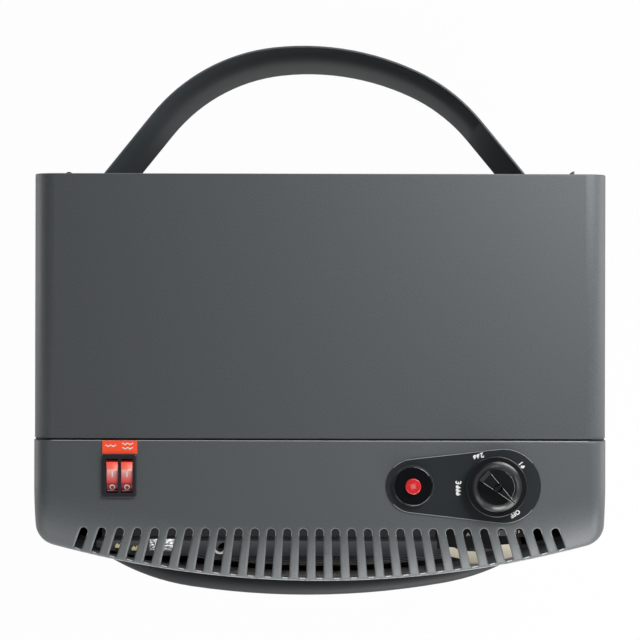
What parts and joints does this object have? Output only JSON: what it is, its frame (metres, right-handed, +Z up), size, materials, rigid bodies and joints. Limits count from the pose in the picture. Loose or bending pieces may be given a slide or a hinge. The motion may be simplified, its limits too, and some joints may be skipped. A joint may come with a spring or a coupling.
{
  "type": "cabinet heater",
  "caption": "Free-standing cabinet heater on castors with a slotted top console, controls, louvred fire guard, bottle bay behind and a hinged hoop guard.",
  "frame": {"origin": "on the floor, in the middle of the outline seen from above", "axes": "+X to the right seen from the front, +Y towards the bottle bay at the rear, +Z up"},
  "size_m": [0.4264, 0.429, 0.7526],
  "materials": {
    "anthracite_paint": "powder-coated steel, anthracite",
    "anthracite_moulding": "moulded, anthracite, fine grain",
    "black_paint": "black paint on steel",
    "galvanised": "galvanised sheet steel",
    "polished_steel": "bright steel",
    "burner_steel": "aluminised steel",
    "zinc": "zinc-plated steel",
    "ceramic": "perforated ceramic",
    "brass": "turned brass",
    "copper_pipe": "copper tube",
    "valve_metal": "die-cast aluminium",
    "fan_aluminium": "aluminium blades",
    "element_steel": "steel sheath",
    "dial_print": "dark printed plate",
    "black_gloss": "black ABS",
    "red_button": "red plastic",
    "rocker_red": "translucent red plastic",
    "switch_black": "black moulding",
    "orange_label": "orange print",
    "terminals": "tinned brass",
    "electrode": "white ceramic and sleeve",
    "castor_tread": "nylon wheel"
  },
  "bodies": {
    "cabinet": {"rear_casing": "anthracite_paint", "front_fascia": "anthracite_paint", "lower_front_panel": "anthracite_paint", "bulkhead": "anthracite_paint", "base_tray": "anthracite_paint", "front_console": "anthracite_moulding", "fire_guard": "black_paint", "guard_hinge_leaves": "black_paint", "castor_plates": "black_paint", "heat_deflector": "galvanised", "burner_rails": "galvanised", "injector_shelf": "galvanised", "blower_housing": "galvanised", "pilot_burner": "galvanised", "reflector": "polished_steel", "guard_hinge_pins": "polished_steel", "burner_left": "burner_steel", "burner_centre": "burner_steel", "burner_right": "burner_steel", "panel_screws": "zinc", "castor_screws": "zinc", "thermal_cutout": "zinc", "ceramic_plaques": "ceramic", "injectors": "brass", "hose_nozzle": "brass", "burner_pipes": "copper_pipe", "pilot_pipe": "copper_pipe", "thermocouple": "copper_pipe", "gas_valve": "valve_metal", "blower_motor": "valve_metal", "heating_element_lower": "element_steel", "heating_element_upper": "element_steel", "dial_plate": "dial_print", "piezo_collar": "black_gloss", "switch_housing": "switch_black", "terminal_block": "switch_black", "tilt_switch": "switch_black", "mains_gland": "switch_black", "piezo_body": "switch_black", "guard_magnets": "switch_black", "heat_label": "orange_label", "switch_terminals": "terminals", "spark_electrode": "electrode", "ignition_lead": "electrode"},
    "bottle_guard": {"bottle_guard": "black_paint"},
    "valve_stem": {"valve_stem": "polished_steel"},
    "control_knob": {"control_knob": "black_gloss"},
    "piezo_button": {"piezo_button": "red_button"},
    "rocker_left": {"rocker_left": "rocker_red"},
    "rocker_right": {"rocker_right": "rocker_red"},
    "blower_impeller": {"blower_impeller": "fan_aluminium"},
    "castor_fork_front_left": {"castor_fork_front_left": "black_paint"},
    "castor_wheel_front_left": {"castor_wheel_front_left": "castor_tread"},
    "castor_fork_rear_left": {"castor_fork_rear_left": "black_paint"},
    "castor_wheel_rear_left": {"castor_wheel_rear_left": "castor_tread"},
    "castor_fork_front_right": {"castor_fork_front_right": "black_paint"},
    "castor_wheel_front_right": {"castor_wheel_front_right": "castor_tread"},
    "castor_fork_rear_right": {"castor_fork_rear_right": "black_paint"},
    "castor_wheel_rear_right": {"castor_wheel_rear_right": "castor_tread"}
  },
  "joints": [
    {"name": "bottle_guard_hinge", "type": "hinge", "parent": "cabinet", "child": "bottle_guard", "pos_m": [-0.203, 0.1125, 0.487], "axis": [0, 0, 1], "range_deg": [0, 105]},
    {"name": "knob_turn", "type": "hinge", "parent": "cabinet", "child": "valve_stem", "pos_m": [0.1305, -0.1239, 0.74], "axis": [0, 0, 1], "range_deg": [0, 225]},
    {"name": "knob_push", "type": "slide", "parent": "valve_stem", "child": "control_knob", "axis": [0, 0, -1], "range_m": [0, 0.004], "stiffness_N_per_m": 800, "springref_m": -0.002},
    {"name": "piezo_press", "type": "slide", "parent": "cabinet", "child": "piezo_button", "axis": [0, 0, -1], "range_m": [0, 0.005], "stiffness_N_per_m": 1200, "springref_m": -0.002},
    {"name": "blower_spin", "type": "hinge", "parent": "cabinet", "child": "blower_impeller", "pos_m": [0, -0.1409, 0.222], "axis": [1, 0, 0], "continuous": true},
    {"name": "rocker_left_tilt", "type": "hinge", "parent": "cabinet", "child": "rocker_left", "pos_m": [-0.1529, -0.1169, 0.727], "axis": [-1, 0, 0], "range_deg": [0, 18]},
    {"name": "rocker_right_tilt", "type": "hinge", "parent": "cabinet", "child": "rocker_right", "pos_m": [-0.1421, -0.1169, 0.727], "axis": [-1, 0, 0], "range_deg": [0, 18]},
    {"name": "castor_swivel_front_left", "type": "hinge", "parent": "cabinet", "child": "castor_fork_front_left", "pos_m": [-0.165, -0.14, 0.053], "axis": [0, 0, 1], "continuous": true},
    {"name": "castor_roll_front_left", "type": "hinge", "parent": "castor_fork_front_left", "child": "castor_wheel_front_left", "pos_m": [-0.165, -0.126, 0.022], "axis": [1, 0, 0], "continuous": true},
    {"name": "castor_swivel_rear_left", "type": "hinge", "parent": "cabinet", "child": "castor_fork_rear_left", "pos_m": [-0.165, 0.09, 0.053], "axis": [0, 0, 1], "continuous": true},
    {"name": "castor_roll_rear_left", "type": "hinge", "parent": "castor_fork_rear_left", "child": "castor_wheel_rear_left", "pos_m": [-0.165, 0.104, 0.022], "axis": [1, 0, 0], "continuous": true},
    {"name": "castor_swivel_front_right", "type": "hinge", "parent": "cabinet", "child": "castor_fork_front_right", "pos_m": [0.165, -0.14, 0.053], "axis": [0, 0, 1], "continuous": true},
    {"name": "castor_roll_front_right", "type": "hinge", "parent": "castor_fork_front_right", "child": "castor_wheel_front_right", "pos_m": [0.165, -0.126, 0.022], "axis": [1, 0, 0], "continuous": true},
    {"name": "castor_swivel_rear_right", "type": "hinge", "parent": "cabinet", "child": "castor_fork_rear_right", "pos_m": [0.165, 0.09, 0.053], "axis": [0, 0, 1], "continuous": true},
    {"name": "castor_roll_rear_right", "type": "hinge", "parent": "castor_fork_rear_right", "child": "castor_wheel_rear_right", "pos_m": [0.165, 0.104, 0.022], "axis": [1, 0, 0], "continuous": true}
  ]
}
